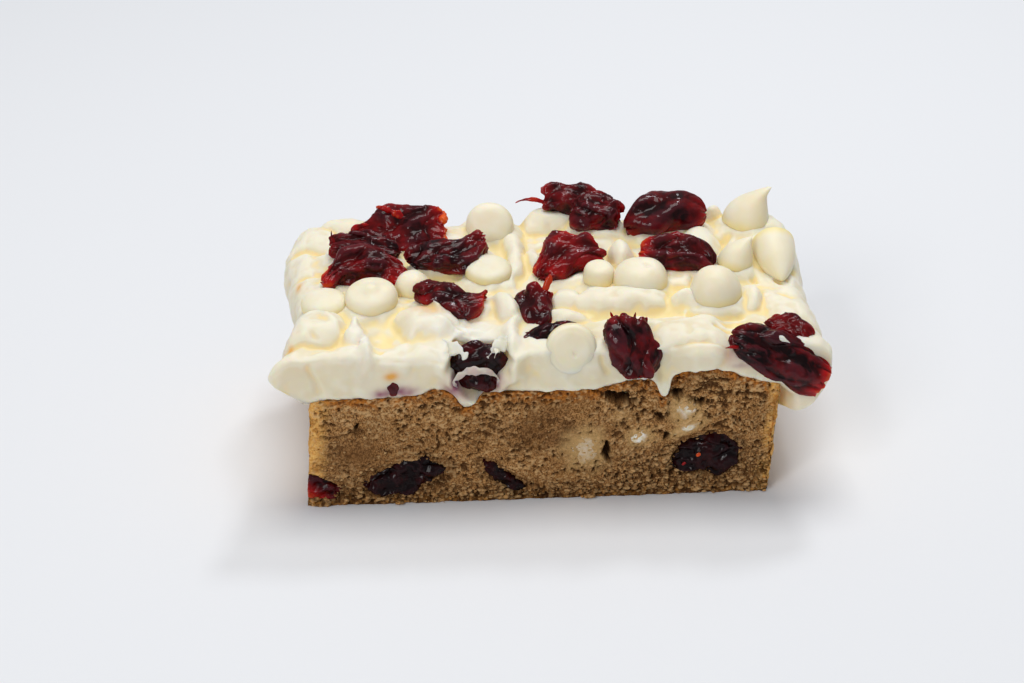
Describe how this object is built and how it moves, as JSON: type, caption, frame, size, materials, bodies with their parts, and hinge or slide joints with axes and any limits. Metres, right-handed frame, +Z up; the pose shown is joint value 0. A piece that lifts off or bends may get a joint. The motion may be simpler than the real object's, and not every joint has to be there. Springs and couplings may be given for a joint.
{
  "type": "white chocolate cranberry bar",
  "caption": "Rectangular slab of blond cake under thick, lumpy white frosting that hangs over its ends, set with dried cranberries and white chocolate chips.",
  "frame": {"origin": "middle of the flat underside of the cake slab", "axes": "+X to the right along the front cut face, +Y from the front cut face to the back one, +Z up through the frosting"},
  "size_m": [0.1026, 0.0559, 0.0414],
  "materials": {
    "cake_crumb": "matt, fine open crumb",
    "frosting_cream": "soft satin, slightly see-through in thin places",
    "white_chocolate": "satin",
    "dried_cranberry": "glossy, wrinkled"
  },
  "bodies": {
    "root": {"cake": "cake_crumb", "frosting": "frosting_cream", "white_chip_01": "white_chocolate", "white_chip_02": "white_chocolate", "white_chip_03": "white_chocolate", "white_chip_04": "white_chocolate", "white_chip_05": "white_chocolate", "white_chip_06": "white_chocolate", "white_chip_07": "white_chocolate", "white_chip_08": "white_chocolate", "white_chip_09": "white_chocolate", "white_chip_10": "white_chocolate", "white_chip_11": "white_chocolate", "white_chip_12": "white_chocolate", "cranberry_01": "dried_cranberry", "cranberry_02": "dried_cranberry", "cranberry_03": "dried_cranberry", "cranberry_04": "dried_cranberry", "cranberry_05": "dried_cranberry", "cranberry_06": "dried_cranberry", "cranberry_07": "dried_cranberry", "cranberry_08": "dried_cranberry", "cranberry_09": "dried_cranberry", "cranberry_10": "dried_cranberry", "cranberry_11": "dried_cranberry", "cranberry_12": "dried_cranberry", "cranberry_13": "dried_cranberry", "cranberry_14": "dried_cranberry", "cranberry_15": "dried_cranberry", "cranberry_16": "dried_cranberry", "cranberry_17": "dried_cranberry", "baked_cranberry_01": "dried_cranberry", "baked_cranberry_02": "dried_cranberry", "baked_cranberry_03": "dried_cranberry", "baked_cranberry_04": "dried_cranberry", "baked_cranberry_05": "dried_cranberry", "baked_cranberry_06": "dried_cranberry", "baked_cranberry_07": "dried_cranberry", "baked_chocolate_01": "white_chocolate", "baked_chocolate_02": "white_chocolate", "baked_chocolate_03": "white_chocolate", "baked_chocolate_04": "white_chocolate", "baked_chocolate_05": "white_chocolate", "baked_chocolate_06": "white_chocolate"}
  },
  "joints": []
}
